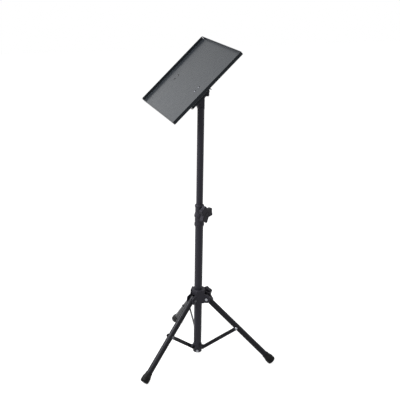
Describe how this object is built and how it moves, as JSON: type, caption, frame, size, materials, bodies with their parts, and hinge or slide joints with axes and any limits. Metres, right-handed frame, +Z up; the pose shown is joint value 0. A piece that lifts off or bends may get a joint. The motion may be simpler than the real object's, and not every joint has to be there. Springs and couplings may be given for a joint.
{
  "type": "projector tripod stand",
  "caption": "Folding tripod floor stand with a telescopic pole, clamp knobs, a tilting lipped tray for a projector or laptop, sliding leg hub, flat braces and rubber feet.",
  "frame": {"origin": "on the pole axis at floor level", "axes": "+Z up along the pole, +Y along the rear leg and the tray tilt axis, +X toward the raised end of the tray"},
  "size_m": [0.5292, 0.4995, 1.2029],
  "materials": {
    "powder_coated_tube": "satin",
    "powder_coated_sheet": "satin",
    "moulded_nylon": "matt",
    "moulded_knob": "satin",
    "zinc_plated_steel": "plated",
    "blackened_steel": "satin",
    "brass_insert": "turned",
    "rubber": "matt"
  },
  "bodies": {
    "stand": {"lower_tube": "powder_coated_tube", "bottom_fitting": "moulded_nylon", "cross_bolt": "zinc_plated_steel", "cross_nut": "zinc_plated_steel", "brace_pivot_rivets": "blackened_steel", "clamp_collar": "moulded_nylon", "collar_nut": "zinc_plated_steel"},
    "collar_clamp": {"collar_knob": "moulded_knob", "collar_knob_stud": "zinc_plated_steel"},
    "hub": {"leg_hub": "moulded_nylon", "leg_pivot_bolts": "zinc_plated_steel", "leg_pivot_nuts": "zinc_plated_steel", "hub_nut": "zinc_plated_steel"},
    "hub_clamp": {"hub_knob": "moulded_knob", "hub_knob_stud": "zinc_plated_steel"},
    "glide": {"mast_glide": "moulded_nylon"},
    "mast": {"upper_tube": "powder_coated_tube", "tilt_head": "moulded_nylon", "tilt_bolt": "zinc_plated_steel"},
    "tilt_clamp": {"tilt_knob": "moulded_knob", "tilt_knob_insert": "brass_insert"},
    "tray_top": {"tray": "powder_coated_sheet", "tray_channel": "powder_coated_sheet", "tilt_saddle": "powder_coated_sheet", "tray_screws": "blackened_steel", "tray_nuts": "zinc_plated_steel"},
    "leg_right": {"leg_tube_right": "powder_coated_tube", "rubber_foot_right": "rubber", "leg_bolt_right": "zinc_plated_steel"},
    "strut_right": {"brace_right": "powder_coated_tube", "brace_rivet_right": "zinc_plated_steel"},
    "leg_rear": {"leg_tube_rear": "powder_coated_tube", "rubber_foot_rear": "rubber", "leg_bolt_rear": "zinc_plated_steel"},
    "strut_rear": {"brace_rear": "powder_coated_tube", "brace_rivet_rear": "zinc_plated_steel"},
    "leg_left": {"leg_tube_left": "powder_coated_tube", "rubber_foot_left": "rubber", "leg_bolt_left": "zinc_plated_steel"},
    "strut_left": {"brace_left": "powder_coated_tube", "brace_rivet_left": "zinc_plated_steel"}
  },
  "joints": [
    {"name": "hub_slide", "type": "slide", "parent": "stand", "child": "hub", "axis": [0, 0, 1], "range_m": [0, 0.1143]},
    {"name": "mast_slide", "type": "slide", "parent": "stand", "child": "glide", "axis": [0, 0, 1], "range_m": [-0.345, 0.06]},
    {"name": "mast_turn", "type": "hinge", "parent": "glide", "child": "mast", "pos_m": [0, 0, 0.5], "axis": [0, 0, 1], "continuous": true},
    {"name": "tray_tilt", "type": "hinge", "parent": "mast", "child": "tray_top", "pos_m": [0, 0, 1.0423], "axis": [0, -1, 0], "range_deg": [-43.8, 1.2]},
    {"name": "collar_knob_turn", "type": "hinge", "parent": "stand", "child": "collar_clamp", "pos_m": [0.01559, -0.02563, 0.5913], "axis": [0.5195, -0.8545, 0], "range_deg": [0, 360]},
    {"name": "hub_knob_turn", "type": "hinge", "parent": "hub", "child": "hub_clamp", "pos_m": [0.04157, 0.024, 0.242], "axis": [0.866, 0.5, 0], "range_deg": [0, 360]},
    {"name": "tilt_knob_turn", "type": "hinge", "parent": "mast", "child": "tilt_clamp", "pos_m": [0, -0.03, 1.0423], "axis": [0, -1, 0], "range_deg": [0, 360]},
    {"name": "leg_right_fold", "type": "hinge", "parent": "hub", "child": "leg_right", "pos_m": [0.03031, -0.0175, 0.248], "axis": [0.5, 0.866, 0], "range_deg": [-0.5, 44.7]},
    {"name": "brace_right_fold", "type": "hinge", "parent": "stand", "child": "strut_right", "pos_m": [0.01905, -0.011, 0.0415], "axis": [-0.5, -0.866, 0], "range_deg": [-0.5, 45.93]},
    {"name": "leg_rear_fold", "type": "hinge", "parent": "hub", "child": "leg_rear", "pos_m": [0, 0.035, 0.248], "axis": [-1, 0, 0], "range_deg": [-0.5, 44.7]},
    {"name": "brace_rear_fold", "type": "hinge", "parent": "stand", "child": "strut_rear", "pos_m": [0, 0.022, 0.0415], "axis": [1, 0, 0], "range_deg": [-0.5, 45.93]},
    {"name": "leg_left_fold", "type": "hinge", "parent": "hub", "child": "leg_left", "pos_m": [-0.03031, -0.0175, 0.248], "axis": [0.5, -0.866, 0], "range_deg": [-0.5, 44.7]},
    {"name": "brace_left_fold", "type": "hinge", "parent": "stand", "child": "strut_left", "pos_m": [-0.01905, -0.011, 0.0415], "axis": [-0.5, 0.866, 0], "range_deg": [-0.5, 45.93]}
  ],
  "couplings": [
    {"joint": "leg_right_fold", "follows": "hub_slide", "rad_per_m": 6.7492},
    {"joint": "brace_right_fold", "follows": "hub_slide", "rad_per_m": 6.9369},
    {"joint": "leg_rear_fold", "follows": "hub_slide", "rad_per_m": 6.7492},
    {"joint": "brace_rear_fold", "follows": "hub_slide", "rad_per_m": 6.9369},
    {"joint": "leg_left_fold", "follows": "hub_slide", "rad_per_m": 6.7492},
    {"joint": "brace_left_fold", "follows": "hub_slide", "rad_per_m": 6.9369}
  ]
}
